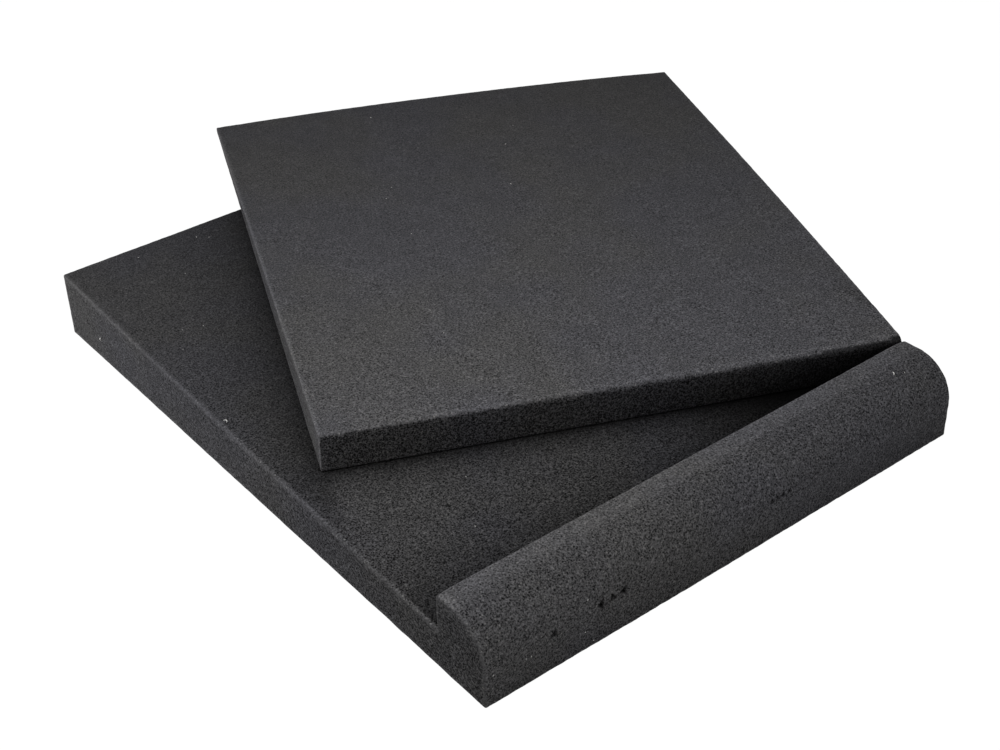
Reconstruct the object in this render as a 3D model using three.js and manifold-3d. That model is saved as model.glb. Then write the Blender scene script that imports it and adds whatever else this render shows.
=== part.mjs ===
// Speaker isolation pad: two loose pieces of charcoal open-cell foam.
//
// base_pad is a wedge with a rounded stop lip standing along its thin front edge.
// wedge_insert is a second, thinner wedge that lies on the base's sloping seat. Its thick edge faces
// the lip, so its own slope cancels the seat's and its top is almost level. It lies turned, with its
// right front corner against the lip, and overhangs the base at the back and on the right.
//
// Millimetres, +Z up, +X along the lip to the right, +Y from the lip to the thick back edge.
// The origin is the centre of the base's underside.

import * as THREE from "three";
import { mergeVertices } from "three/addons/utils/BufferGeometryUtils.js";
import Module from "manifold-3d";

// Base pad
const BASE_WIDTH = 262;
const BASE_DEPTH = 332;
const BACK_HEIGHT = 33.8;
const SEAT_FRONT_HEIGHT = 18.8;

// Stop lip along the base's front
const LIP_DEPTH = 28.9;
const LIP_HEIGHT = 37.5;
const LIP_ROUND_RADIUS = 20;
const LIP_BACK_EDGE_RADIUS = 1.2;

// Loose wedge insert: it fills the seat's depth and is cut a little wider than the base
const INSERT_EXTRA_WIDTH = 3;
const INSERT_FRONT_THICKNESS = 18.6;
const INSERT_BACK_THICKNESS = 2.5;

// How the insert lies on the seat
const INSERT_YAW_DEG = 22.7;
const CORNER_INSET = 1;
const SEAT_CLEARANCE = 0.3;
const LIP_CLEARANCE = 0.3;

// The knife-cut ends of both pieces have slightly softened edges
const CUT_EDGE_SOFTENING = 0.6;

// Two rows of small three-cornered pits, torn out of the lip's front face
const PIT_DEPTH = 2;
const LEFT_PITS = { radius: 1.5, height: 18.6, fromLeftEnd: [33.3, 57, 62.6, 68.5] };
const RIGHT_PITS = { radius: 1.2, height: 20.6, fromLeftEnd: [149.6, 152.9, 156.4, 160] };

// Facets of the two rounds of the lip
const ROUND_SEGMENTS = 24;
const SMALL_ROUND_SEGMENTS = 4;

const FOAM_COLOUR = 0x3f3f41;
const FOAM_ROUGHNESS = 0.97;

const frontY = -BASE_DEPTH / 2;
const backY = BASE_DEPTH / 2;
const lipBackY = frontY + LIP_DEPTH;
const seatDepth = BASE_DEPTH - LIP_DEPTH;
const seatSlope = Math.atan2(BACK_HEIGHT - SEAT_FRONT_HEIGHT, seatDepth);

const insertWidth = BASE_WIDTH + INSERT_EXTRA_WIDTH;
const insertDepth = seatDepth;
const insertYaw = THREE.MathUtils.degToRad(INSERT_YAW_DEG);

// Angle between the insert's top and bottom, with its front face square to the top
const insertTaper = Math.asin(INSERT_FRONT_THICKNESS / Math.hypot(INSERT_BACK_THICKNESS, insertDepth))
  - Math.atan2(INSERT_BACK_THICKNESS, insertDepth);

const { Manifold, Mesh: SolidMesh } = await loadSolids();

async function loadSolids() {
  const wasm = await Module();
  wasm.setup();
  return wasm;
}

// Turns a closed geometry into a solid that can be cut.
function toSolid(geometry) {
  const bare = geometry.clone();
  bare.deleteAttribute("normal");
  bare.deleteAttribute("uv");
  const merged = mergeVertices(bare);
  return new Manifold(new SolidMesh({
    numProp: 3,
    vertProperties: new Float32Array(merged.attributes.position.array),
    triVerts: new Uint32Array(merged.index.array),
  }));
}

// Turns a solid back into a geometry with flat facets.
function toGeometry(solid) {
  const mesh = solid.getMesh();
  const indexed = new THREE.BufferGeometry();
  indexed.setAttribute("position", new THREE.BufferAttribute(mesh.vertProperties, 3));
  indexed.setIndex(new THREE.BufferAttribute(mesh.triVerts, 1));
  const geometry = indexed.toNonIndexed();
  geometry.computeVertexNormals();
  return geometry;
}

// Extrudes a (Y, Z) profile along X, from x = from to x = from + width, with softened ends.
function extrudeAlongX(profile, from, width) {
  const geometry = new THREE.ExtrudeGeometry(profile, {
    depth: width - 2 * CUT_EDGE_SOFTENING,
    curveSegments: ROUND_SEGMENTS,
    bevelEnabled: true,
    bevelThickness: CUT_EDGE_SOFTENING,
    bevelSize: CUT_EDGE_SOFTENING,
    bevelOffset: -CUT_EDGE_SOFTENING,
    bevelSegments: 1,
  });
  const profileToWorld = new THREE.Matrix4().makeBasis(
    new THREE.Vector3(0, 1, 0),
    new THREE.Vector3(0, 0, 1),
    new THREE.Vector3(1, 0, 0),
  );
  geometry.applyMatrix4(profileToWorld);
  return geometry.translate(from + CUT_EDGE_SOFTENING, 0, 0);
}

// Points of a round corner, from one angle to another in degrees.
function roundCorner(centreY, centreZ, radius, fromDeg, toDeg, segments) {
  const points = [];
  for (let i = 0; i <= segments; i += 1) {
    const angle = THREE.MathUtils.degToRad(fromDeg + (toDeg - fromDeg) * i / segments);
    points.push(new THREE.Vector2(centreY + radius * Math.cos(angle), centreZ + radius * Math.sin(angle)));
  }
  return points;
}

// The base's section: flat underside, upright back, sloping seat, and the lip with its large front
// round and flat top.
function baseProfile() {
  const frontRound = roundCorner(
    frontY + LIP_ROUND_RADIUS, LIP_HEIGHT - LIP_ROUND_RADIUS, LIP_ROUND_RADIUS, 90, 180, ROUND_SEGMENTS,
  );
  const backEdge = roundCorner(
    lipBackY - LIP_BACK_EDGE_RADIUS, LIP_HEIGHT - LIP_BACK_EDGE_RADIUS, LIP_BACK_EDGE_RADIUS, 0, 90,
    SMALL_ROUND_SEGMENTS,
  );
  return new THREE.Shape([
    new THREE.Vector2(frontY, 0),
    new THREE.Vector2(backY, 0),
    new THREE.Vector2(backY, BACK_HEIGHT),
    new THREE.Vector2(lipBackY, SEAT_FRONT_HEIGHT),
    ...backEdge,
    ...frontRound,
  ]);
}

// How far the lip's front surface lies behind the front plane at a height.
function lipFrontSetback(height) {
  const aboveRound = Math.max(0, height - (LIP_HEIGHT - LIP_ROUND_RADIUS));
  return LIP_ROUND_RADIUS - Math.sqrt(LIP_ROUND_RADIUS ** 2 - aboveRound ** 2);
}

// A three-cornered cone, point inwards, with one corner of its mouth towards +X. Half of it stands
// outside the lip's front, so the mouth that it cuts there has the stated radius.
function pitCutter(x, height, radius) {
  const cutter = new THREE.ConeGeometry(2 * radius, 2 * PIT_DEPTH, 3, 1, false, Math.PI / 2);
  return toSolid(cutter.translate(x, frontY + lipFrontSetback(height), height));
}

function makeBasePad() {
  let solid = toSolid(extrudeAlongX(baseProfile(), -BASE_WIDTH / 2, BASE_WIDTH));
  for (const row of [LEFT_PITS, RIGHT_PITS]) {
    for (const distance of row.fromLeftEnd) {
      solid = solid.subtract(pitCutter(distance - BASE_WIDTH / 2, row.height, row.radius));
    }
  }
  return toGeometry(solid);
}

// The insert's section in its own frame: it lies on z = 0 with its front lower edge at y = 0.
function insertProfile() {
  return new THREE.Shape([
    new THREE.Vector2(0, 0),
    new THREE.Vector2(insertDepth, 0),
    new THREE.Vector2(insertDepth, INSERT_BACK_THICKNESS),
    new THREE.Vector2(
      INSERT_FRONT_THICKNESS * Math.sin(insertTaper),
      INSERT_FRONT_THICKNESS * Math.cos(insertTaper),
    ),
  ]);
}

// The insert's right front lower corner is at its origin.
function makeWedgeInsert() {
  return extrudeAlongX(insertProfile(), -insertWidth, insertWidth);
}

// Distance up the slope from the lip's foot to the insert's corner, so that no point of the corner's
// upright edge comes nearer to the lip's back face than the clearance.
function cornerDistanceFromLip() {
  const topForwardReach = INSERT_FRONT_THICKNESS * (
    Math.cos(insertTaper) * Math.sin(seatSlope)
    - Math.sin(insertTaper) * Math.cos(insertYaw) * Math.cos(seatSlope)
  );
  const lowerEdgeReach = SEAT_CLEARANCE * Math.sin(seatSlope);
  const softenedCornerRetreat = CUT_EDGE_SOFTENING * Math.sin(insertYaw) * Math.cos(seatSlope);
  const reach = Math.max(0, topForwardReach) + lowerEdgeReach - softenedCornerRetreat;
  return (LIP_CLEARANCE + reach) / Math.cos(seatSlope);
}

function foam() {
  return new THREE.MeshStandardMaterial({ color: FOAM_COLOUR, roughness: FOAM_ROUGHNESS, metalness: 0 });
}

const basePad = new THREE.Mesh(makeBasePad(), foam());
basePad.name = "base_pad";

const wedgeInsert = new THREE.Mesh(makeWedgeInsert(), foam());
wedgeInsert.name = "wedge_insert";
wedgeInsert.position.set(BASE_WIDTH / 2 - CORNER_INSET, cornerDistanceFromLip(), SEAT_CLEARANCE);
wedgeInsert.rotation.z = -insertYaw;

// The seat's frame starts at the foot of the lip and slopes up to the back.
const seat = new THREE.Group();
seat.position.set(0, lipBackY, SEAT_FRONT_HEIGHT);
seat.rotation.x = seatSlope;
seat.add(wedgeInsert);

const isolationPad = new THREE.Group();
isolationPad.add(basePad, seat);

export default isolationPad;
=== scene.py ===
"""Dresses a speaker isolation pad: a wedge base with a stop lip, and a loose wedge insert on it.

Both pieces are charcoal open-cell foam. Their meshes are built here on the same sections as the
solids, with soft knife-cut edges, the curl of the thin insert, pits torn out of the lip and a few
specks of lint. All sizes are in metres, +Z is up, +X runs along the lip and the origin lies under the
middle of the base.
"""

import logging
import math
import random
from collections.abc import Iterable, Mapping, Sequence
from dataclasses import dataclass, field
from enum import Enum

import bmesh
import bpy
import numpy as np
from mathutils import Euler, Matrix, Vector, noise
from mathutils.bvhtree import BVHTree
from mathutils.geometry import delaunay_2d_cdt


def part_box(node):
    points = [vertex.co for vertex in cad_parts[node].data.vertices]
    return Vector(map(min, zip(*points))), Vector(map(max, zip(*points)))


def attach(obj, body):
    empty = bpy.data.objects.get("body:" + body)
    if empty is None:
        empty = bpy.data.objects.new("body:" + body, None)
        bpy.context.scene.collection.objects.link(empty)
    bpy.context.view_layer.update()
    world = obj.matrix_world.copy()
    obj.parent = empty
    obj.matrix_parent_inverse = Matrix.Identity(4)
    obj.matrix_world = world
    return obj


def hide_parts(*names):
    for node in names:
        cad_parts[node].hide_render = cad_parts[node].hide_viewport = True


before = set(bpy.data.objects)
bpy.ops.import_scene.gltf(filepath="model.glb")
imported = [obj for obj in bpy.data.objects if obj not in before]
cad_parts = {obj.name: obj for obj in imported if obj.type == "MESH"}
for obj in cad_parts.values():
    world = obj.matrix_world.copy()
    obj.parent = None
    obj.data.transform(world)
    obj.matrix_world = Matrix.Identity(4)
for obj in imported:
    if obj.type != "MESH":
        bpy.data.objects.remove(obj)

LOG = logging.getLogger("isolation_pad")
MM = 0.001
FOAM_SLOT = "charcoal_foam"
ROOT = "root"
COARSENESS = "coarseness"
PAINTED_SHADING = "tone"
RIM_HIGHLIGHT = "rim_highlight"
RIM_REACH = 0.95 * MM


class MathOp(Enum):
    """Operations of a Math node that the materials use."""

    ADD = "ADD"
    SUBTRACT = "SUBTRACT"
    MULTIPLY = "MULTIPLY"
    MAXIMUM = "MAXIMUM"


class Ramp(Enum):
    """Forms of the step between two levels."""

    LINEAR = "LINEAR"
    SMOOTH = "SMOOTHSTEP"


class Blend(Enum):
    """Ways to lay one colour over another."""

    MIX = "MIX"
    MULTIPLY = "MULTIPLY"


class Signal:
    """A number that changes over a surface, with arithmetic that adds Math nodes."""

    def __init__(self, graph: "Graph", socket: bpy.types.NodeSocket) -> None:
        """Wraps an output socket of a graph's node.

        Args:
            graph: the graph that new Math nodes go to.
            socket: the output socket that gives the number.
        """
        self.graph = graph
        self.socket = socket

    def __add__(self, other: "Signal | float") -> "Signal":
        """Adds a number or another signal."""
        return self.graph.math(MathOp.ADD, self, other)

    def __radd__(self, other: float) -> "Signal":
        """Adds this signal to a number."""
        return self.graph.math(MathOp.ADD, other, self)

    def __sub__(self, other: "Signal | float") -> "Signal":
        """Takes a number or another signal away."""
        return self.graph.math(MathOp.SUBTRACT, self, other)

    def __rsub__(self, other: float) -> "Signal":
        """Takes this signal away from a number."""
        return self.graph.math(MathOp.SUBTRACT, other, self)

    def __mul__(self, other: "Signal | float") -> "Signal":
        """Multiplies by a number or another signal."""
        return self.graph.math(MathOp.MULTIPLY, self, other)

    def __rmul__(self, other: float) -> "Signal":
        """Multiplies a number by this signal."""
        return self.graph.math(MathOp.MULTIPLY, other, self)

    def larger(self, other: "Signal | float") -> "Signal":
        """Gives the larger of two numbers."""
        return self.graph.math(MathOp.MAXIMUM, self, other)

    def between(self, low: float, high: float, ramp: Ramp = Ramp.SMOOTH) -> "Signal":
        """Gives a step from 0 at low to 1 at high.

        Args:
            low: where the step starts.
            high: where the step ends; below low, the step falls.
            ramp: the step's form.

        Returns:
            A signal from 0 to 1.
        """
        step = self.graph.node(
            "ShaderNodeMapRange",
            {"interpolation_type": ramp.value, "clamp": True},
            {"Value": self, "From Min": low, "From Max": high, "To Min": 0.0, "To Max": 1.0},
        )
        return Signal(self.graph, step.outputs["Result"])


class Graph:
    """The node tree of one material or world, with short ways to add nodes."""

    @classmethod
    def of_material(cls, name: str) -> "tuple[bpy.types.Material, Graph]":
        """Makes a material and gives it with its empty graph."""
        made = bpy.data.materials.new(name)
        made.use_nodes = True
        return made, cls(made.node_tree)

    def __init__(self, tree: bpy.types.NodeTree) -> None:
        """Empties a node tree and keeps it.

        Args:
            tree: the node tree to fill.
        """
        self.tree = tree
        tree.nodes.clear()

    def node(
        self,
        kind: str,
        settings: Mapping[str, object] | None = None,
        sockets: Mapping[str | int, object] | None = None,
    ) -> bpy.types.Node:
        """Adds a node, sets it up, then fills or links its input sockets.

        Args:
            kind: the node's type, such as ShaderNodeTexNoise.
            settings: attributes that are set before the sockets are filled.
            sockets: values, Signals or output sockets, by input name or number.

        Returns:
            The new node.
        """
        made = self.tree.nodes.new(kind)
        for name, value in (settings or {}).items():
            setattr(made, name, value)
        for name, value in (sockets or {}).items():
            self.feed(made.inputs[name], value)
        return made

    def feed(self, target: bpy.types.NodeSocket, value: object) -> None:
        """Links or sets one input socket.

        Args:
            target: the input socket.
            value: a Signal, an output socket or a plain value.
        """
        if isinstance(value, Signal):
            value = value.socket
        if isinstance(value, bpy.types.NodeSocket):
            self.tree.links.new(value, target)
        else:
            target.default_value = value

    def principled(self, sockets: Mapping[str, object]) -> None:
        """Ends a material in a Principled shader with the given inputs."""
        shader = self.node("ShaderNodeBsdfPrincipled", {}, sockets)
        self.node("ShaderNodeOutputMaterial", {}, {"Surface": shader.outputs["BSDF"]})

    def math(self, operation: MathOp, first: Signal | float, second: Signal | float) -> Signal:
        """Adds a Math node on two numbers and gives its result."""
        made = self.node("ShaderNodeMath", {"operation": operation.value}, {0: first, 1: second})
        return Signal(self, made.outputs[0])

    def noise(self, place: bpy.types.NodeSocket, size: float, detail: float) -> Signal:
        """Gives smooth noise from 0 to 1 over a surface.

        Args:
            place: the point on the surface.
            size: how wide its largest patches are.
            detail: how many finer layers it has.

        Returns:
            The noise.
        """
        made = self.node("ShaderNodeTexNoise", {}, {"Vector": place, "Scale": 1 / size, "Detail": detail})
        return Signal(self, made.outputs["Fac"])

    def attribute(self, name: str) -> Signal:
        """Gives a number stored on the mesh's points."""
        made = self.node("ShaderNodeAttribute", {"attribute_name": name})
        return Signal(self, made.outputs["Fac"])

    def mix(
        self,
        factor: Signal | float,
        under: object,
        over: object,
        blend: Blend = Blend.MIX,
    ) -> bpy.types.NodeSocket:
        """Lays one colour over another.

        Args:
            factor: how much of the upper colour shows, 0 to 1.
            under: the lower colour.
            over: the upper colour.
            blend: how the two colours meet.

        Returns:
            The socket of the resulting colour.
        """
        made = self.node(
            "ShaderNodeMix",
            {"data_type": "RGBA", "blend_type": blend.value},
            {0: factor, 6: under, 7: over},
        )
        return made.outputs[2]


@dataclass(frozen=True)
class FoamFinish:
    """Cut surface of charcoal open-cell foam: dark pores and lighter struts, each under a millimetre.

    The finish reads three numbers from the mesh: coarseness, how strongly pores and struts stand
    apart; painted shading, the painted light and shade on each cut side, with painted shade beside the
    other piece and in the pits; and the rim highlight, 1 at the cut edges, where loose struts get a
    painted highlight and calmer grain. The light flecks on the struts are painted glints.
    """

    pore: tuple[float, float, float, float] = (0.0060, 0.0060, 0.0062, 1.0)
    strut: tuple[float, float, float, float] = (0.2260, 0.2240, 0.2310, 1.0)
    painted_glint: tuple[float, float, float, float] = (0.3400, 0.3350, 0.3250, 1.0)
    neutral_cast: tuple[float, float, float, float] = (1.02, 1.01, 0.99, 1.0)
    cool_cast: tuple[float, float, float, float] = (0.98, 0.98, 1.035, 1.0)
    cell: float = 1.0 * MM
    strut_size: float = 0.6 * MM
    strut_detail: float = 1.0
    strut_roughness: float = 0.6
    painted_glint_spacing: float = 2.2 * MM
    painted_glint_radius: float = 0.5 * MM
    painted_glint_core: float = 0.4
    painted_glint_strength: float = 0.4
    patch: float = 70 * MM
    drift: float = 9 * MM
    drift_strength: float = 0.16
    brightest_grain: float = 1.5
    rim_highlight_strength: float = 0.55
    rim_calm: float = 0.55
    roughness_low: float = 0.88
    roughness_span: float = 0.10
    specular: float = 0.04
    bump_depth: float = 0.3 * MM
    bump_strength: float = 0.5
    pore_share: float = 0.9
    strut_share: float = 2.2
    middle: float = 0.5
    patch_limits: tuple[float, float] = (0.35, 0.65)

    def material(self, name: str) -> bpy.types.Material:
        """Builds the material.

        Args:
            name: the material's name.

        Returns:
            A material for the foam pieces.
        """
        made, graph = Graph.of_material(name)
        place = graph.node("ShaderNodeTexCoord").outputs["Object"]
        grain = self._grain(graph, place)
        bump = graph.node(
            "ShaderNodeBump",
            {},
            {"Strength": self.bump_strength, "Distance": self.bump_depth, "Height": grain},
        )
        graph.principled({
            "Base Color": self._colour(graph, place, grain),
            "Roughness": self.roughness_low + (1 - grain) * self.roughness_span,
            "Specular IOR Level": self.specular,
            "Normal": bump.outputs["Normal"],
        })
        return made

    def _grain(self, graph: Graph, place: bpy.types.NodeSocket) -> Signal:
        """Gives 0 deep in a pore and 1 on a strut, further apart where the cut is coarser.

        Args:
            graph: the material's graph.
            place: the point on the surface.

        Returns:
            The grain's signal.
        """
        cells = graph.node(
            "ShaderNodeTexVoronoi", {"feature": "F1"}, {"Vector": place, "Scale": 1 / self.cell}
        )
        fine = graph.node(
            "ShaderNodeTexNoise",
            {},
            {
                "Vector": place,
                "Scale": 1 / self.strut_size,
                "Detail": self.strut_detail,
                "Roughness": self.strut_roughness,
            },
        )
        from_pore = Signal(graph, cells.outputs["Distance"]) - self.middle
        strut = Signal(graph, fine.outputs["Fac"]) - self.middle
        contrast = graph.attribute(COARSENESS) * (1 - graph.attribute(RIM_HIGHLIGHT) * self.rim_calm)
        relief = contrast * (from_pore * self.pore_share + strut * self.strut_share) + self.middle
        return relief.between(0.0, self.brightest_grain, Ramp.LINEAR)

    def _colour(self, graph: Graph, place: bpy.types.NodeSocket, grain: Signal) -> bpy.types.NodeSocket:
        """Mixes the foam's colour, with painted glints on the struts, painted light and shade, and a painted
        highlight along the cut edges.

        Args:
            graph: the material's graph.
            place: the point on the surface.
            grain: 0 in the pores, 1 on the struts.

        Returns:
            The socket of the colour.
        """
        patch = graph.noise(place, self.patch, detail=2.0)
        drift = graph.noise(place, self.drift, detail=4.0)
        # Light flecks on the strut ends are painted glints.
        painted_glint_cells = graph.node(
            "ShaderNodeTexVoronoi", {"feature": "F1"}, {"Vector": place, "Scale": 1 / self.painted_glint_spacing}
        )
        reach = self.painted_glint_radius / self.painted_glint_spacing
        speck = Signal(graph, painted_glint_cells.outputs["Distance"]).between(reach, reach * self.painted_glint_core)
        uneven = 1 + (drift - self.middle) * self.drift_strength * 2
        # Painted light and shade: each side's painted shading with its painted shade and shadows, lifted by
        # a painted highlight along the cut edges; the drift is random unevenness.
        level = graph.attribute(PAINTED_SHADING) * uneven * (1 + graph.attribute(RIM_HIGHLIGHT) * self.rim_highlight_strength)

        foam = graph.mix(grain, self.pore, self.strut)
        foam = graph.mix(speck * graph.attribute(COARSENESS) * self.painted_glint_strength, foam, self.painted_glint)
        patchy = patch.between(*self.patch_limits)
        cast = graph.mix(patchy, self.neutral_cast, self.cool_cast)
        foam = graph.mix(1.0, foam, cast, Blend.MULTIPLY)
        scaled = graph.node("ShaderNodeVectorMath", {"operation": "SCALE"}, {0: foam, "Scale": level})
        return scaled.outputs["Vector"]


@dataclass(frozen=True)
class LintFinish:
    """Pale cotton lint and dust."""

    pale: tuple[float, float, float, float] = (0.90, 0.89, 0.87, 1.0)
    grey: tuple[float, float, float, float] = (0.60, 0.59, 0.58, 1.0)
    fibre: float = 0.3 * MM
    mottle_limits: tuple[float, float] = (0.4, 0.65)
    roughness: float = 0.8

    def material(self, name: str) -> bpy.types.Material:
        """Builds the material.

        Args:
            name: the material's name.

        Returns:
            A material for the specks of lint.
        """
        made, graph = Graph.of_material(name)
        place = graph.node("ShaderNodeTexCoord").outputs["Object"]
        shade = graph.noise(place, self.fibre, detail=2.0).between(*self.mottle_limits)
        graph.principled({"Base Color": graph.mix(shade, self.pale, self.grey), "Roughness": self.roughness})
        return made


@dataclass(frozen=True)
class Cut:
    """How one cut side of the foam reads, as pairs of its start and its end: its coarseness, and its painted
    shading, the painted light and shade on that side.
    """

    coarseness: tuple[float, float]
    tone: tuple[float, float]

    def at(self, share: float | np.ndarray) -> np.ndarray:
        """Gives coarseness and painted shading at a share of the way from the side's start to its end."""
        pairs = np.array([self.coarseness, self.tone])
        return pairs[:, 0] + np.multiply.outer(np.asarray(share), pairs[:, 1] - pairs[:, 0])


@dataclass(frozen=True)
class Corner:
    """A corner of a section, where two straight sides would meet.

    spacing and cut are those of the side that starts at the corner.
    """

    y: float
    z: float
    radius: float
    spacing: float
    cut: Cut

    def point(self) -> np.ndarray:
        """Gives the corner's (y, z)."""
        return np.array([self.y, self.z])


class Section:
    """A foam piece's closed section in the (y, z) plane, walked anticlockwise seen from +X."""

    ARC_SPACING = 1.2 * MM
    FEWEST_ARC_STEPS = 4
    SHARP_RADIUS = 5 * MM
    BLEND_LENGTH = 2.5 * MM

    def __init__(self, corners: Sequence[Corner]) -> None:
        """Keeps the corners and settles how many points each arc and side gets.

        Args:
            corners: the corners, anticlockwise.
        """
        self.corners = list(corners)
        self.arc_steps = []
        self.side_steps = []
        for i, corner in enumerate(self.corners):
            after = self.corners[(i + 1) % len(self.corners)]
            arc_length = corner.radius * abs(self._turn(i))
            self.arc_steps.append(max(self.FEWEST_ARC_STEPS, math.ceil(arc_length / self.ARC_SPACING)))
            straight = np.linalg.norm(after.point() - corner.point()) - self._cut(i) - self._cut(i + 1)
            self.side_steps.append(max(1, round(straight / corner.spacing)))

    def _sides(self, i: int) -> tuple[np.ndarray, np.ndarray]:
        """Gives the directions of the two sides that meet at a corner.

        Args:
            i: the corner's number.

        Returns:
            The unit directions of the side before the corner and of the side after it.
        """
        count = len(self.corners)
        here = self.corners[i % count].point()
        before = here - self.corners[(i - 1) % count].point()
        after = self.corners[(i + 1) % count].point() - here
        return before / np.linalg.norm(before), after / np.linalg.norm(after)

    def _turn(self, i: int) -> float:
        """Gives the angle by which the outline turns at corner i, left turns positive."""
        before, after = self._sides(i)
        return math.atan2(before[0] * after[1] - before[1] * after[0], float(before @ after))

    def _cut(self, i: int, radius: float | None = None) -> float:
        """Gives the distance from corner i to where its arc starts."""
        corner = self.corners[i % len(self.corners)]
        return (corner.radius if radius is None else radius) * math.tan(abs(self._turn(i)) / 2)

    def ring(self, radii: Mapping[int, float] | None = None) -> np.ndarray:
        """Places the section's points.

        Args:
            radii: radii that differ from the corners' own, by corner number.

        Returns:
            The points as rows of y and z, always the same number of them.
        """
        own = dict(radii or {})
        arcs = [self._arc(i, own.get(i, corner.radius)) for i, corner in enumerate(self.corners)]
        points = []
        for i, arc in enumerate(arcs):
            following = arcs[(i + 1) % len(arcs)][0]
            points.extend(arc)
            steps = self.side_steps[i]
            points.extend(arc[-1] + (following - arc[-1]) * step / steps for step in range(1, steps))
        return np.array(points)

    def _arc(self, i: int, radius: float) -> list[np.ndarray]:
        """Places the points of a corner's arc, ends included.

        Args:
            i: the corner's number.
            radius: the arc's radius.

        Returns:
            The points from the side before the corner to the side after it.
        """
        before, _ = self._sides(i)
        turn = self._turn(i)
        start = self.corners[i].point() - before * self._cut(i, radius)
        inward = np.array([-before[1], before[0]]) * math.copysign(1, turn)
        centre = start + inward * radius
        points = []
        for step in range(self.arc_steps[i] + 1):
            angle = turn * step / self.arc_steps[i]
            cos, sin = math.cos(angle), math.sin(angle)
            points.append(centre + np.array([[cos, -sin], [sin, cos]]) @ (start - centre))
        return points

    def coarseness_and_shading(self) -> np.ndarray:
        """Gives each ring point's coarseness and painted shading, blended over each arc.

        Returns:
            A row of coarseness and painted shading for each point of the ring.
        """
        values = []
        for i, corner in enumerate(self.corners):
            before, after = self.corners[i - 1].cut.at(1.0), corner.cut.at(0.0)
            length = corner.radius * abs(self._turn(i))
            quick = max(1.0, length / self.BLEND_LENGTH)
            shares = np.minimum(np.linspace(0, quick, self.arc_steps[i] + 1), 1)
            values.extend(before + np.multiply.outer(shares, after - before))
            steps = self.side_steps[i]
            values.extend(corner.cut.at(np.arange(1, steps) / steps))
        return np.array(values)

    def edge_distance(self) -> np.ndarray:
        """Measures how far each ring point is from the nearest sharp corner of the section.

        Returns:
            One distance for each point of the ring.
        """
        ring = self.ring()
        sharp = [c.point() for c in self.corners if c.radius < self.SHARP_RADIUS]
        return np.min([np.linalg.norm(ring - corner, axis=1) for corner in sharp], axis=0)


def outward(ring: np.ndarray) -> np.ndarray:
    """Gives the unit outward normal at each point of a ring.

    Args:
        ring: points of a closed anticlockwise outline.

    Returns:
        One normal for each point.
    """
    along = np.roll(ring, -1, axis=0) - np.roll(ring, 1, axis=0)
    normals = np.stack([along[:, 1], -along[:, 0]], axis=1)
    return normals / np.linalg.norm(normals, axis=1, keepdims=True)


@dataclass
class Blank:
    """A foam block before its finish: points, faces and what its material reads at each point.

    coarseness_and_shading has a row of coarseness and painted shading for each point.
    """

    points: np.ndarray
    faces: list[tuple[int, ...]]
    coarseness_and_shading: np.ndarray
    edge_distance: np.ndarray


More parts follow.
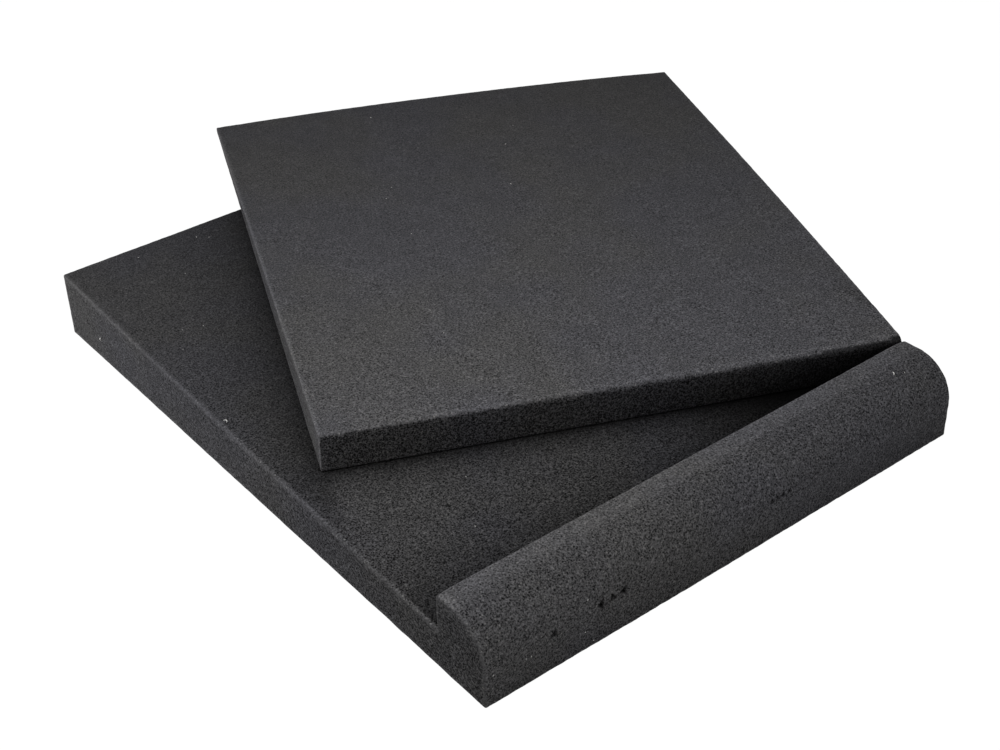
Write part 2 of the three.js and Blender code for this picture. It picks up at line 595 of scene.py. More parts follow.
@dataclass
class FoamBlock:
    """A block cut from foam: one section carried along X, closed by two knife-cut ends."""

    section: Section
    left: float
    right: float
    end_radius: float = 0.9 * MM
    end_steps: int = 3
    spacing: float = 1.3 * MM
    cap_spacing: float = 1.7 * MM
    cap_margin: float = 0.55
    cap_batches: int = 16
    end_cut: Cut = Cut((1.0, 1.0), (1.0, 1.0))
    swelling: Mapping[int, tuple[float, float]] = field(default_factory=dict)

    def stations(self) -> list[tuple[float, float]]:
        """Places the section's rings along X, closer together over the soft ends.

        Returns:
            Each ring's place along X and how far it is drawn in there.
        """
        soft = []
        for step in range(self.end_steps):
            angle = math.pi / 2 * step / self.end_steps
            away, inset = 1 - math.cos(angle), 1 - math.sin(angle)
            soft.append((self.end_radius * away, self.end_radius * inset))
        inner = self.right - self.left - 2 * self.end_radius
        count = round(inner / self.spacing)
        middle = [(self.left + self.end_radius + inner * i / count, 0.0) for i in range(count + 1)]
        first = [(self.left + away, inset) for away, inset in soft]
        last = [(self.right - away, inset) for away, inset in reversed(soft)]
        return first + middle + last

    def _ring_at(self, x: float) -> np.ndarray:
        """Gives the ring at a place along X, where a corner's radius may grow from left to right.

        Args:
            x: the place.

        Returns:
            The ring's points as rows of y and z.
        """
        share = (x - self.left) / (self.right - self.left)
        radii = {i: low + (high - low) * share for i, (low, high) in self.swelling.items()}
        return self.section.ring(radii)

    def blank(self) -> Blank:
        """Builds the block's points and faces.

        Returns:
            The closed block, its faces pointing out.
        """
        stations = self.stations()
        rings = []
        for x, inset in stations:
            ring = self._ring_at(x)
            ring = ring - outward(ring) * inset
            rings.append(np.column_stack([np.full(len(ring), x), ring]))
        count = len(rings[0])
        points = list(np.concatenate(rings))
        faces = []
        for first in range(0, (len(rings) - 1) * count, count):
            for j in range(count):
                k = (j + 1) % count
                faces.append((first + j, first + k, first + count + k, first + count + j))
        places = np.array([x for x, _ in stations])
        from_end = np.minimum(places - self.left, self.right - places)
        edge = np.minimum(from_end[:, None], self.section.edge_distance()[None, :]).reshape(-1)
        share = np.clip(from_end / self.end_radius, 0, 1)[:, None, None]
        end_coarseness_and_shading = self._end_coarseness_and_shading(rings[0][:, 1])
        coarseness_and_shading = share * self.section.coarseness_and_shading()[None] + (1 - share) * end_coarseness_and_shading[None]

        extra_edge = []
        extra_coarseness_and_shading = []
        for ring, first, mirrored in ((rings[0], 0, True), (rings[-1], (len(rings) - 1) * count, False)):
            inner, distances = self._cap_points(ring[:, 1:])
            start = len(points)
            points.extend(np.column_stack([np.full(len(inner), ring[0, 0]), inner]))
            extra_edge.extend(distances)
            extra_coarseness_and_shading.extend(self._end_coarseness_and_shading(inner[:, 0]))
            numbers = list(range(first, first + count)) + list(range(start, start + len(inner)))
            faces.extend(self._cap_faces(np.concatenate([ring[:, 1:], inner]), count, numbers, mirrored))
        return Blank(
            np.array(points),
            faces,
            np.concatenate([coarseness_and_shading.reshape(-1, 2), extra_coarseness_and_shading]),
            np.concatenate([edge, extra_edge]),
        )

    def _end_coarseness_and_shading(self, y: np.ndarray) -> np.ndarray:
        """Gives the coarseness and painted shading of the knife-cut ends at places along Y."""
        depths = [corner.y for corner in self.section.corners]
        return self.end_cut.at((y - min(depths)) / (max(depths) - min(depths)))

    def _cap_points(self, ring: np.ndarray) -> tuple[np.ndarray, np.ndarray]:
        """Fills an end cap with evenly spaced points.

        Args:
            ring: the cap's outline.

        Returns:
            The points inside, and their distances to the outline.
        """
        low, high = ring.min(axis=0), ring.max(axis=0)
        rows = np.arange(low[1], high[1], self.cap_spacing * math.sqrt(3) / 2)
        columns = np.arange(low[0], high[0], self.cap_spacing)
        shifts = [(number % 2) * self.cap_spacing / 2 for number in range(len(rows))]
        grid = np.array([(y + shift, z) for shift, z in zip(shifts, rows) for y in columns])
        gaps = np.concatenate([
            np.linalg.norm(part[:, None, :] - ring[None, :, :], axis=2).min(axis=1)
            for part in np.array_split(grid, self.cap_batches)
        ])
        kept = inside(grid, ring) & (gaps > self.cap_spacing * self.cap_margin)
        return grid[kept], gaps[kept]

    @staticmethod
    def _cap_faces(
        flat: np.ndarray, border: int, numbers: Sequence[int], mirrored: bool
    ) -> list[tuple[int, int, int]]:
        """Triangulates an end cap.

        Args:
            flat: the cap's points, its outline first.
            border: how many of them make the outline.
            numbers: each point's number in the whole block.
            mirrored: True for the left end, which faces the other way.

        Returns:
            The cap's triangles, as numbers in the whole block.
        """
        placed, _, triangles, origins, _, _ = delaunay_2d_cdt(
            [Vector(p) / MM for p in flat], [], [list(range(border))], 1, 1e-6, True
        )
        middles = np.array([np.mean([placed[i] for i in triangle], axis=0) for triangle in triangles])
        wanted = inside(middles, flat[:border] / MM)
        faces = []
        for triangle in (t for t, keep in zip(triangles, wanted) if keep):
            a, b, c = (placed[i] for i in triangle)
            names = [numbers[origins[i][0]] for i in triangle]
            anticlockwise = (b - a).cross(c - a) > 0
            faces.append(tuple(names if anticlockwise != mirrored else reversed(names)))
        return faces


def inside(points: np.ndarray, outline: np.ndarray) -> np.ndarray:
    """Tells which points lie inside a closed outline.

    Args:
        points: rows of two numbers.
        outline: the outline's points in order.

    Returns:
        True for each point inside.
    """
    result = np.zeros(len(points), bool)
    following = np.roll(outline, -1, axis=0)
    for (ay, az), (by, bz) in zip(outline, following):
        if az == bz:
            continue
        crosses = (az > points[:, 1]) != (bz > points[:, 1])
        reach = ay + (points[:, 1] - az) * (by - ay) / (bz - az)
        result ^= crosses & (points[:, 0] < reach)
    return result


@dataclass(frozen=True)
class Relief:
    """How uneven a cut foam surface is, at three scales."""

    wave: float = 75 * MM
    wave_height: float = 0.16 * MM
    lump: float = 8 * MM
    lump_height: float = 0.07 * MM
    cell: float = 2.3 * MM
    cell_height: float = 0.13 * MM
    offset: Vector = field(default_factory=lambda: Vector((11.3, 4.7, 29.1)))

    def heights(self, points: Iterable[Vector], coarseness: Iterable[float]) -> list[float]:
        """Gives how far each point of a surface stands out.

        Args:
            points: the surface's points.
            coarseness: how torn the surface is at each.

        Returns:
            Heights in metres.
        """
        shift = self.offset
        return [
            noise.noise(p / self.wave + shift) * self.wave_height
            + noise.noise(p / self.lump + shift) * self.lump_height
            + noise.noise(p / self.cell + shift) * self.cell_height * coarse
            for p, coarse in zip(points, coarseness)
        ]


def rim_highlight_strength(distance: np.ndarray) -> np.ndarray:
    """Turns the distance to a cut edge into the rim highlight's number, 1 at the edge."""
    return np.exp(-((distance / RIM_REACH) ** 2))


def arch(share: np.ndarray) -> np.ndarray:
    """Gives a flat arch over a share of the way: 0 at both ends and 1 in the middle."""
    return 4 * share * (1 - share)


def mesh_object(name: str, blank: Blank, relief: Relief) -> bpy.types.Object:
    """Makes an object of a blank, with its relief and the three numbers that its material reads: coarseness,
    painted shading and the rim highlight.

    Args:
        name: the object's name.
        blank: the block as cut.
        relief: the unevenness of its surface.

    Returns:
        The object, at the origin, linked to the scene.
    """
    mesh = bpy.data.meshes.new(name)
    mesh.from_pydata([tuple(p) for p in blank.points], [], blank.faces)
    mesh.update()
    vertices = mesh.vertices
    coarseness, tone = blank.coarseness_and_shading.T
    heights = relief.heights((v.co for v in vertices), coarseness)
    moved = [v.co + v.normal * height for v, height in zip(vertices, heights)]
    for vertex, place in zip(vertices, moved):
        vertex.co = place
    rim_highlight = rim_highlight_strength(blank.edge_distance)
    for title, values in ((COARSENESS, coarseness), (PAINTED_SHADING, tone), (RIM_HIGHLIGHT, rim_highlight)):
        mesh.attributes.new(title, "FLOAT", "POINT").data.foreach_set("value", values.astype(np.float32))
    mesh.polygons.foreach_set("use_smooth", [True] * len(mesh.polygons))
    mesh.update()
    made = bpy.data.objects.new(name, mesh)
    bpy.context.scene.collection.objects.link(made)
    return made


@dataclass(frozen=True)
class PaintedShade:
    """Painted shade on the foam beside another piece: how dark, how far, and how steeply it ends."""

    depth: float
    reach: float
    steepness: float = 1.0

    def tone(self, distance: np.ndarray) -> np.ndarray:
        """Gives the factor that the painted shade puts on the foam's painted shading at distances from the
        piece.
        """
        return 1 - self.depth * np.exp(-((np.maximum(distance, 0) / self.reach) ** self.steepness))


@dataclass(frozen=True)
class Pit:
    """A three-cornered hole torn out of the lip's front face.

    MOUTH and WALL are shares of its half width: where its wall starts, and how wide the wall is.
    """

    MOUTH = 0.8
    WALL = 0.3

    from_left: float
    height: float
    width: float
    tallness: float
    turn: float

    def depth_at(self, across: float, up: float, depth: float) -> float:
        """Gives how deep the pit is at a place on the face.

        Args:
            across: distance from the pit's middle along X.
            up: distance from the pit's middle along Z.
            depth: the pit's depth.

        Returns:
            The depth there, 0 outside the pit.
        """
        cos, sin = math.cos(self.turn), math.sin(self.turn)
        x = (cos * across + sin * up) / (self.width / 2)
        z = (cos * up - sin * across) / (self.tallness / 2)
        reach = max(x, -x / 2 + abs(z) * math.sqrt(3) / 2)
        step = min(max((self.MOUTH - reach) / self.WALL, 0.0), 1.0)
        return depth * step * step * (3 - 2 * step)


@dataclass
class BasePad:
    """The base: a wedge with a rounded stop lip along its thin front edge."""

    back_height: float = 33.8 * MM
    seat_front_height: float = 18.8 * MM
    lip_depth: float = 28.9 * MM
    lip_round: float = 20 * MM
    edge_radius: float = 1.0 * MM
    lip_back_radius: float = 1.6 * MM
    foot_radius: float = 0.8 * MM
    fine: float = 1.3 * MM
    hidden: float = 4 * MM
    # The second pair of each cut is painted light and shade on that side: lighter on the back and the lip's
    # top, darker on the underside, the seat, the lip's back, the lip's front towards its foot and the ends
    # towards the front.
    hidden_cut: Cut = Cut((1.0, 1.0), (0.9, 0.9))
    back_cut: Cut = Cut((1.2, 1.2), (1.1, 1.1))
    seat_cut: Cut = Cut((0.55, 1.25), (0.83, 0.84))
    lip_back_cut: Cut = Cut((1.2, 1.2), (0.8, 0.8))
    lip_top_cut: Cut = Cut((0.75, 0.75), (1.24, 1.2))
    lip_front_cut: Cut = Cut((1.0, 1.0), (0.90, 0.62))
    end_cut: Cut = Cut((1.3, 0.65), (0.40, 0.98))
    lip_dip: float = 0.9 * MM
    lip_dip_reach: float = 9 * MM
    front_bulge: float = 0.5 * MM
    seat_hollow: float = 0.4 * MM
    # Painted shade on the seat beside the lip and deep in the crevice in front of the insert, and the
    # insert's painted shadow round it.
    lip_painted_shade: PaintedShade = PaintedShade(0.92, 30 * MM)
    crevice_painted_shade: PaintedShade = PaintedShade(0.97, 38 * MM, 4)
    insert_front_painted_shade: PaintedShade = PaintedShade(0.8, 10 * MM)
    insert_side_painted_shade: PaintedShade = PaintedShade(0.74, 30 * MM)
    pit_depth: float = 3 * MM
    pit_tear: float = 0.9 * MM
    pit_raggedness: float = 0.14 * MM
    pit_painted_shade: float = 0.03
    pit_refinings: int = 2
    pit_face_reach: float = 4 * MM
    pits: tuple[Pit, ...] = (
        Pit(33.3 * MM, 17.8 * MM, 3.0 * MM, 3.4 * MM, 2.4),
        Pit(57.0 * MM, 18.8 * MM, 3.5 * MM, 4.6 * MM, 0.0),
        Pit(62.6 * MM, 18.8 * MM, 3.6 * MM, 3.0 * MM, 0.7),
        Pit(68.5 * MM, 19.4 * MM, 3.6 * MM, 3.8 * MM, 2.0),
        Pit(149.6 * MM, 20.6 * MM, 2.0 * MM, 2.3 * MM, 0.3),
        Pit(152.9 * MM, 20.6 * MM, 2.2 * MM, 1.9 * MM, 0.9),
        Pit(156.4 * MM, 20.8 * MM, 2.5 * MM, 2.6 * MM, 2.2),
        Pit(160.0 * MM, 20.9 * MM, 1.8 * MM, 2.0 * MM, 0.0),
    )

    def __post_init__(self) -> None:
        """Takes the overall sizes from the solid."""
        low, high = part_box("base_pad")
        self.left, self.front, self.bottom = low
        self.right, self.back, self.lip_height = high
        self.lip_back = self.front + self.lip_depth
        self.seat_slope = math.atan2(self.back_height - self.seat_front_height, self.back - self.lip_back)

    def section(self) -> Section:
        """Draws the base's section, from the front lower edge by the back and the seat to the lip.

        Returns:
            The section.
        """
        foot = self.seat_front_height
        return Section([
            Corner(self.front, self.bottom, self.edge_radius, self.hidden, self.hidden_cut),
            Corner(self.back, self.bottom, self.edge_radius, self.fine, self.back_cut),
            Corner(self.back, self.back_height, self.edge_radius, self.fine, self.seat_cut),
            Corner(self.lip_back, foot, self.foot_radius, self.fine, self.lip_back_cut),
            Corner(self.lip_back, self.lip_height, self.lip_back_radius, self.fine, self.lip_top_cut),
            Corner(self.front, self.lip_height, self.lip_round, self.fine, self.lip_front_cut),
        ])

    def build(self, load: Matrix) -> bpy.types.Object:
        """Builds the base's mesh.

        Args:
            load: how the insert lies on the seat, as a matrix from the insert's frame.

        Returns:
            The finished base, without its material.
        """
        blank = FoamBlock(self.section(), self.left, self.right, end_cut=self.end_cut).blank()
        self._paint_shade(blank, load)
        self._settle(blank.points)
        made = mesh_object("base_pad_foam", blank, Relief())
        self._tear_pits(made)
        return made

    def _paint_shade(self, blank: Blank, load: Matrix) -> None:
        """Paints shade on the seat beside the lip and deep in the crevice, and the insert's shadow round the
        insert, in place.

        Args:
            blank: the base as cut.
            load: how the insert lies on the seat, as a matrix from the insert's frame.
        """
        into_insert = np.array(load.inverted())
        local = blank.points @ into_insert[:3, :3].T + into_insert[:3, 3]
        before_front = -local[:, 1].clip(max=0)
        past_left = -(local[:, 0] + self.right - self.left).clip(max=0)
        on_seat = (blank.points[:, 1] > self.lip_back) & (blank.points[:, 2] > self.seat_front_height / 2)
        inner = blank.points[:, 0] > self.left + self.edge_radius
        from_lip = blank.points[:, 1] - self.lip_back
        tone = self.lip_painted_shade.tone(from_lip) * self.crevice_painted_shade.tone(from_lip + before_front)
        away = np.hypot(before_front, past_left)
        front_painted_shade = self.insert_front_painted_shade.tone(away)
        side_painted_shade = self.insert_side_painted_shade.tone(away)
        painted_shadow_round_insert = np.where(local[:, 1] > 0, side_painted_shade, np.minimum(front_painted_shade, side_painted_shade))
        painted_shadow_round_insert = np.where(past_left > 0, painted_shadow_round_insert, front_painted_shade)
        blank.coarseness_and_shading[:, 1] *= np.where(on_seat & inner, tone * painted_shadow_round_insert, 1)

    def _settle(self, points: np.ndarray) -> None:
        """Gives the block the soft departures from its straight form, in place.

        Args:
            points: the block's points.
        """
        x, y, z = points.copy().T
        across = (x - self.left) / (self.right - self.left)
        in_lip = np.clip((self.lip_back + self.edge_radius - y) / MM, 0, 1)
        lip_rise = self.lip_height - self.seat_front_height
        above_seat = np.clip((z - self.seat_front_height) / lip_rise, 0, 1)
        from_end = np.minimum(x - self.left, self.right - x)
        dip = np.clip(1 - from_end / self.lip_dip_reach, 0, 1) ** 2
        back_share = np.clip((y - self.front) / self.lip_depth, 0, 1)
        points[:, 2] -= self.lip_dip * dip * in_lip * above_seat * back_share
        points[:, 1] -= self.front_bulge * arch(across) * (1 - back_share) * (1 - above_seat)
        slope_share = np.clip((y - self.lip_back) / (self.back - self.lip_back), 0, 1)
        points[:, 2] -= self.seat_hollow * arch(slope_share) * (z > self.seat_front_height / 2)

    def _tear_pits(self, made: bpy.types.Object) -> None:
        """Refines the lip's front face round each pit, pushes the pit in and paints shade into it, darkest
        at its bottom.

        Args:
            made: the base's object.
        """
        work = bmesh.new()
        work.from_mesh(made.data)
        tone = work.verts.layers.float[PAINTED_SHADING]
        centres = [(self.left + pit.from_left, pit.height, pit) for pit in self.pits]
        for _ in range(self.pit_refinings):
            near = {
                edge
                for face in work.faces
                if face.calc_center_median().y < self.front + self.pit_face_reach / 2
                for x, z, pit in centres
                if abs(face.calc_center_median().x - x) < pit.width
                and abs(face.calc_center_median().z - z) < pit.tallness
                for edge in face.edges
            }
            bmesh.ops.subdivide_edges(work, edges=list(near), cuts=1, use_grid_fill=True)
        for vertex in work.verts:
            if vertex.co.y > self.front + self.pit_face_reach:
                continue
            for x, z, pit in centres:
                ragged = noise.noise(vertex.co / self.pit_tear) * self.pit_raggedness
                depth = pit.depth_at(vertex.co.x - x + ragged, vertex.co.z - z - ragged, self.pit_depth)
                vertex.co.y += depth
                # Painted shade in the pit, darker towards its bottom.
                vertex[tone] *= 1 - (1 - self.pit_painted_shade) * depth / self.pit_depth
        bmesh.ops.triangulate(work, faces=[f for f in work.faces if len(f.verts) > 4])
        work.to_mesh(made.data)
        work.free()
        made.data.update()


@dataclass
class WedgeInsert:
    """The loose wedge: thick front edge, thin back edge, lying turned on the base's seat."""

    base: BasePad
    extra_width: float = 3 * MM
    front_thickness: float = 18.6 * MM
    back_thickness: float = 2.5 * MM
    yaw: float = math.radians(22.7)
    corner_inset: float = 1 * MM
    clearance: float = 0.3 * MM
    edge_radius: float = 0.9 * MM
    thin_radius: float = 0.7 * MM
    front_top_radius: tuple[float, float] = (1.1 * MM, 3.6 * MM)
    fine: float = 1.3 * MM
    hidden: float = 4 * MM
    # The second pair of each cut is painted light and shade on that side: much darker on the front face,
    # lighter towards the front of the top, and darker on the underside.
    hidden_cut: Cut = Cut((1.0, 1.0), (0.9, 0.9))
    back_cut: Cut = Cut((1.0, 1.0), (1.0, 1.0))
    top_cut: Cut = Cut((0.38, 0.85), (0.92, 1.14))
    front_cut: Cut = Cut((1.6, 1.6), (0.49, 0.49))
    end_cut: Cut = Cut((1.0, 0.7), (1.0, 1.0))
    back_arch: float = 2.4 * MM
    back_droop: float = 0.9 * MM
    side_bow: float = 0.8 * MM
    cut_softening: float = 0.6 * MM
    lip_painted_shade: PaintedShade = PaintedShade(0.97, 45 * MM, 2)

    def __post_init__(self) -> None:
        """Works the insert's sizes out from the base that it fills."""
        self.width = self.base.right - self.base.left + self.extra_width
        self.depth = self.base.back - self.base.lip_back
        diagonal = math.hypot(self.back_thickness, self.depth)
        self.taper = math.asin(self.front_thickness / diagonal) - math.atan2(self.back_thickness, self.depth)

    def section(self) -> Section:
        """Draws the insert's section in its own frame, from the front lower edge by the back.

        Returns:
            The section.
        """
        top_front = (
            self.front_thickness * math.sin(self.taper),
            self.front_thickness * math.cos(self.taper),
        )
        return Section([
            Corner(0, 0, self.edge_radius, self.hidden, self.hidden_cut),
            Corner(self.depth, 0, self.thin_radius, self.fine, self.back_cut),
            Corner(self.depth, self.back_thickness, self.thin_radius, self.fine, self.top_cut),
            Corner(*top_front, self.front_top_radius[0], self.fine, self.front_cut),
        ])

    def placing(self) -> Matrix:
        """Works out how the insert lies on the seat, its right front corner against the lip.

        Returns:
            The matrix from the insert's own frame, at that corner's foot, to the row's frame.
        """
        slope = self.base.seat_slope
        lean = self.front_thickness * (
            math.cos(self.taper) * math.sin(slope)
            - math.sin(self.taper) * math.cos(self.yaw) * math.cos(slope)
        )
        softened = self.cut_softening * math.sin(self.yaw) * math.cos(slope)
        reach = max(0.0, lean) + self.clearance * math.sin(slope) - softened
        up_slope = (self.clearance + reach) / math.cos(slope)
        seat = Matrix.Translation((0, self.base.lip_back, self.base.seat_front_height))
        seat = seat @ Matrix.Rotation(slope, 4, "X")
        corner = Matrix.Translation((self.base.right - self.corner_inset, up_slope, self.clearance))
        return seat @ corner @ Matrix.Rotation(-self.yaw, 4, "Z")

    def build(self) -> bpy.types.Object:
        """Builds the insert's mesh where it lies.

        Returns:
            The finished insert, without its material.
        """
        block = FoamBlock(
            self.section(),
            -self.width,
            0.0,
            end_radius=0.6 * MM,
            end_cut=self.end_cut,
            swelling={3: self.front_top_radius},
        )
        blank = block.blank()
        above_seat = blank.points[:, 2].copy()
        self._curl(blank.points)
        matrix = np.array(self.placing())
        blank.points = blank.points @ matrix[:3, :3].T + matrix[:3, 3]
        # Painted shade on the insert's low part near the lip, darkest at its foot by the lip.
        low = blank.points[:, 2] < self.base.lip_height
        from_lip = blank.points[:, 1] - self.base.lip_back + above_seat
        blank.coarseness_and_shading[:, 1] *= np.where(low, self.lip_painted_shade.tone(from_lip), 1)
        return mesh_object("wedge_insert_foam", blank, Relief(wave_height=0.1 * MM))

    def _curl(self, points: np.ndarray) -> None:
        """Arches the thin back edge, lets its free corners droop and bows the right side, in place.

        Args:
            points: the block's points in the insert's own frame.
        """
        across = (points[:, 0] + self.width) / self.width
        toward_back = np.clip(points[:, 1] / self.depth, 0, 1)
        points[:, 2] += toward_back**2 * (self.back_arch * arch(across) - self.back_droop)
        right_half = np.clip(across * 2 - 1, 0, 1)
        points[:, 0] += self.side_bow * right_half * arch(toward_back)


class Facing(Enum):
    """The side of the pad that a speck of lint lies on, as the direction that it faces."""

    UP = (0, 0, 1)
    FRONT = (0, -1, 0)
    LEFT = (-1, 0, 0)


@dataclass(frozen=True)
class Speck:
    """A speck of lint in millimetres: its place along X, Y and Z, its length and its side.

    The coordinate along the side's own direction isn't used: the foam's surface settles it.
    """

    x: float
    y: float
    z: float
    length: float
    facing: Facing = Facing.UP


@dataclass
class Lint:
    """Short fibres of lint lying on one foam piece."""

    name: str
    specks: Sequence[Speck]
    thickness: float = 0.5 * MM
    slenderness: float = 0.3
    most_bend: float = 0.45
    sink: float = 0.9
    thinning: float = 0.85
    thinnest: float = 0.35
    start_height: float = 0.1
    steps: int = 5
    sides: int = 5
    seed: int = 7

    def build(self, carrier: bpy.types.Object) -> bpy.types.Object:
        """Builds the fibres on the surface that carries them.

        Args:
            carrier: the foam piece.

        Returns:
            One object with all the fibres, without its material.
        """
        tree = BVHTree.FromPolygons(
            [v.co.copy() for v in carrier.data.vertices],
            [tuple(p.vertices) for p in carrier.data.polygons],
        )
        draw = random.Random(self.seed)
        work = bmesh.new()
        for speck in self.specks:
            away = Vector(speck.facing.value)
            start = Vector((speck.x, speck.y, speck.z)) * MM + away * self.start_height
            spot, normal, _, _ = tree.ray_cast(start, -away)
            if spot is None:
                LOG.warning("speck at %.1f %.1f misses %s", speck.x, speck.y, carrier.name)
                continue
            self._fibre(work, spot, normal, speck.length * MM, draw)
        mesh = bpy.data.meshes.new(self.name)
        bmesh.ops.recalc_face_normals(work, faces=work.faces)
        work.to_mesh(mesh)
        work.free()
        mesh.polygons.foreach_set("use_smooth", [True] * len(mesh.polygons))
        made = bpy.data.objects.new(self.name, mesh)
        bpy.context.scene.collection.objects.link(made)
        return made

    def _fibre(
        self, work: bmesh.types.BMesh, spot: Vector, normal: Vector, length: float, draw: random.Random
    ) -> None:
        """Adds one bent, closed fibre that lies on the surface.

        Args:
            work: the mesh that takes the fibre.
            spot: the place on the surface.
            normal: the surface's direction there.
            length: the fibre's length.
            draw: the source of its turn and bend.
        """
        side = normal.orthogonal().normalized()
        along = Matrix.Rotation(draw.uniform(0, math.tau), 3, normal) @ side
        bend = normal.cross(along) * draw.uniform(-self.most_bend, self.most_bend)
        radius = min(self.thickness, length * self.slenderness) / 2
        rings = []
        for step in range(self.steps + 1):
            t = step / self.steps * 2 - 1
            centre = spot + along * (t * length / 2) + bend * (t * t * length)
            centre += normal * (radius * self.sink + (1 - t * t) * radius)
            thin = radius * max(self.thinnest, math.sqrt(1 - self.thinning * t * t))
            angles = [math.tau * i / self.sides for i in range(self.sides)]
            spokes = [normal * math.cos(angle) + normal.cross(along) * math.sin(angle) for angle in angles]
            rings.append([work.verts.new(centre + spoke * thin) for spoke in spokes])
        for before, after in zip(rings, rings[1:]):
            for i in range(self.sides):
                j = (i + 1) % self.sides
                work.faces.new((before[i], before[j], after[j], after[i]))
        work.faces.new(rings[0])
        work.faces.new(rings[-1])


BASE_SPECKS = (
    Speck(-131.0, 133.5, 12.9, 2.4, Facing.LEFT),
    Speck(-127.4, 19.6, 26.2, 2.3),
    Speck(107.1, -151.7, 36.6, 1.9),
    Speck(112.2, -153.6, 36.0, 0.8),
    Speck(-68.2, -73.7, 21.7, 0.9),
    Speck(-84.1, -100.2, 20.5, 0.8),
    Speck(-127.2, -166.1, 15.2, 0.9, Facing.FRONT),
    Speck(-109.1, -166.2, 13.7, 0.8, Facing.FRONT),
    Speck(-111.6, -166.2, 14.0, 0.7, Facing.FRONT),
    Speck(-80.5, -165.1, 24.2, 0.9, Facing.FRONT),
    Speck(-82.6, -166.3, 9.8, 0.7, Facing.FRONT),
    Speck(-78.5, -166.4, 3.1, 0.7, Facing.FRONT),
    Speck(-62.5, 155.7, 33.2, 0.8),
    Speck(-57.4, 151.8, 33.0, 0.7),
    Speck(-94.6, 156.7, 33.3, 0.7),
    Speck(-98.9, 87.4, 29.5, 0.7),
    Speck(-83.3, 130.6, 31.8, 0.6),
    Speck(-115.9, 76.9, 28.9, 0.7),
    Speck(-108.4, 90.4, 29.7, 0.6),
)
INSERT_SPECKS = (
    Speck(-26.6, -4.5, 41.1, 0.8),
    Speck(112.1, 124.1, 39.0, 1.0),
    Speck(129.7, 139.5, 38.8, 0.8),
    Speck(85.8, 87.0, 39.3, 0.9),
    Speck(35.3, 123.0, 40.2, 0.7),
    Speck(26.2, 114.8, 40.4, 0.8),
    Speck(15.0, 77.3, 40.5, 0.7),
    Speck(74.1, 196.7, 40.1, 0.8),
)


@dataclass(frozen=True)
class Lamp:
    """A soft square lamp that looks at the middle of the pad."""

    name: str
    place: Vector
    side: float
    watts: float


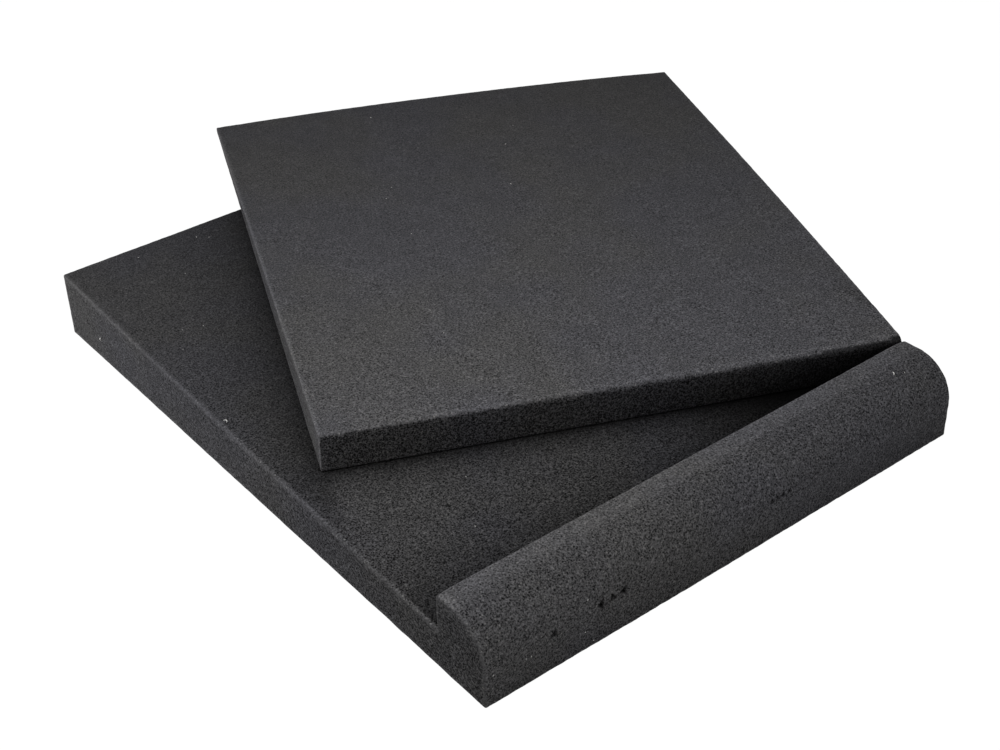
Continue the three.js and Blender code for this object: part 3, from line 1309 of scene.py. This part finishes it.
@dataclass
class Studio:
    """Pale floor, white surroundings, soft lamps and the camera."""

    aim: Vector = field(default_factory=lambda: Vector((0.0, 0.0, 0.02)))
    floor_side: float = 8.0
    floor_colour: tuple[float, float, float, float] = (0.82, 0.82, 0.82, 1.0)
    floor_whitening: float = 0.9
    floor_glow: float = 1.1
    sky: float = 0.12
    camera_place: Vector = field(default_factory=lambda: Vector((-0.39346, -0.51852, 0.45823)))
    camera_turn: tuple[float, float, float] = (55.035, 1.1625, -38.577)
    lens: float = 60.48
    lamps: tuple[Lamp, ...] = (
        Lamp("left_overhead", Vector((-0.2, -0.1, 0.45)), 0.4, 1.16),
        Lamp("right_overhead", Vector((0.08, -0.05, 0.4)), 0.4, 0.24),
        Lamp("left_back_fill", Vector((-1.21, 0.85, 0.26)), 0.8, 10.0),
        Lamp("front_fill", Vector((0.0, -1.41, 0.53)), 0.9, 2.8),
    )

    def build(self) -> None:
        """Builds the floor, the surroundings, the lamps and the camera."""
        self._floor()
        self._world()
        for lamp in self.lamps:
            self._lamp(lamp)
        self._camera()
        bpy.context.scene.view_settings.view_transform = "Standard"

    def _seen(self, graph: Graph) -> Signal:
        """Tells what is seen, straight or in a reflection, from what only lights the pad.

        Args:
            graph: the graph of the floor or the surroundings.

        Returns:
            1 where it is seen and 0 where it lights.
        """
        path = graph.node("ShaderNodeLightPath")
        camera = Signal(graph, path.outputs["Is Camera Ray"])
        glossy = Signal(graph, path.outputs["Is Glossy Ray"])
        passed = Signal(graph, path.outputs["Is Transmission Ray"])
        return camera.larger(glossy).larger(passed)

    def _floor(self) -> None:
        """Builds a wide pale floor, whitened to the camera, that keeps the pad's shadow."""
        half = self.floor_side / 2
        mesh = bpy.data.meshes.new("floor")
        corners = [(-half, -half, 0), (half, -half, 0), (half, half, 0), (-half, half, 0)]
        mesh.from_pydata(corners, [], [(0, 1, 2, 3)])
        floor = bpy.data.objects.new("floor", mesh)
        bpy.context.scene.collection.objects.link(floor)
        made, graph = Graph.of_material("pale_floor")
        matt = graph.node("ShaderNodeBsdfDiffuse", {}, {"Color": self.floor_colour})
        white = graph.node("ShaderNodeEmission", {}, {"Strength": self.floor_glow})
        seen = self._seen(graph) * self.floor_whitening
        mixed = graph.node(
            "ShaderNodeMixShader",
            {},
            {0: seen, 1: matt.outputs["BSDF"], 2: white.outputs["Emission"]},
        )
        graph.node("ShaderNodeOutputMaterial", {}, {"Surface": mixed.outputs["Shader"]})
        mesh.materials.append(made)

    def _world(self) -> None:
        """Makes the surroundings white to the camera and a soft even light to the pad."""
        world = bpy.data.worlds.new("surroundings")
        world.use_nodes = True
        bpy.context.scene.world = world
        graph = Graph(world.node_tree)
        light = graph.node("ShaderNodeBackground", {}, {"Strength": self.sky})
        white = graph.node("ShaderNodeBackground", {}, {"Color": (1, 1, 1, 1), "Strength": 1.0})
        light.inputs["Color"].default_value = (1, 1, 1, 1)
        mixed = graph.node(
            "ShaderNodeMixShader",
            {},
            {0: self._seen(graph), 1: light.outputs["Background"], 2: white.outputs["Background"]},
        )
        graph.node("ShaderNodeOutputWorld", {}, {"Surface": mixed.outputs["Shader"]})

    def _lamp(self, lamp: Lamp) -> None:
        """Hangs one lamp on its own side of the pad.

        Args:
            lamp: its place, size and power.
        """
        data = bpy.data.lights.new(lamp.name, "AREA")
        data.shape = "SQUARE"
        data.size = lamp.side
        data.energy = lamp.watts
        made = bpy.data.objects.new(lamp.name, data)
        made.location = lamp.place
        made.rotation_euler = (self.aim - lamp.place).to_track_quat("-Z", "Y").to_euler()
        bpy.context.scene.collection.objects.link(made)

    def _camera(self) -> None:
        """Places the camera at the photograph's viewing angle."""
        data = bpy.data.cameras.new("camera")
        data.lens = self.lens
        data.clip_start, data.clip_end = 0.01, 50
        camera = bpy.data.objects.new("camera", data)
        camera.location = self.camera_place
        camera.rotation_euler = Euler([math.radians(a) for a in self.camera_turn])
        bpy.context.scene.collection.objects.link(camera)
        bpy.context.scene.camera = camera


def dress(piece: bpy.types.Object, material: bpy.types.Material, node: str | None = None) -> None:
    """Gives a piece its material and tells the frame what it is.

    Args:
        piece: the finished piece.
        material: its finish.
        node: the solid that a foam piece stands for; None for lint.
    """
    piece.data.materials.append(material)
    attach(piece, ROOT)
    if node:
        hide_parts(node)
    LOG.info("%s: %d faces", piece.name, len(piece.data.polygons))


def main() -> None:
    """Builds the pad's two pieces, their lint and the studio, and reports each piece."""
    logging.basicConfig(level=logging.INFO, format="%(name)s: %(message)s")
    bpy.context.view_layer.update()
    Studio().build()

    foam = FoamFinish().material(FOAM_SLOT)
    base = BasePad()
    insert = WedgeInsert(base)
    base_piece = base.build(insert.placing())
    dress(base_piece, foam, "base_pad")
    insert_piece = insert.build()
    dress(insert_piece, foam, "wedge_insert")
    cotton = LintFinish().material("lint")
    dress(Lint("base_lint", BASE_SPECKS).build(base_piece), cotton)
    dress(Lint("insert_lint", INSERT_SPECKS, seed=11).build(insert_piece), cotton)


if __name__ == "__main__":
    main()
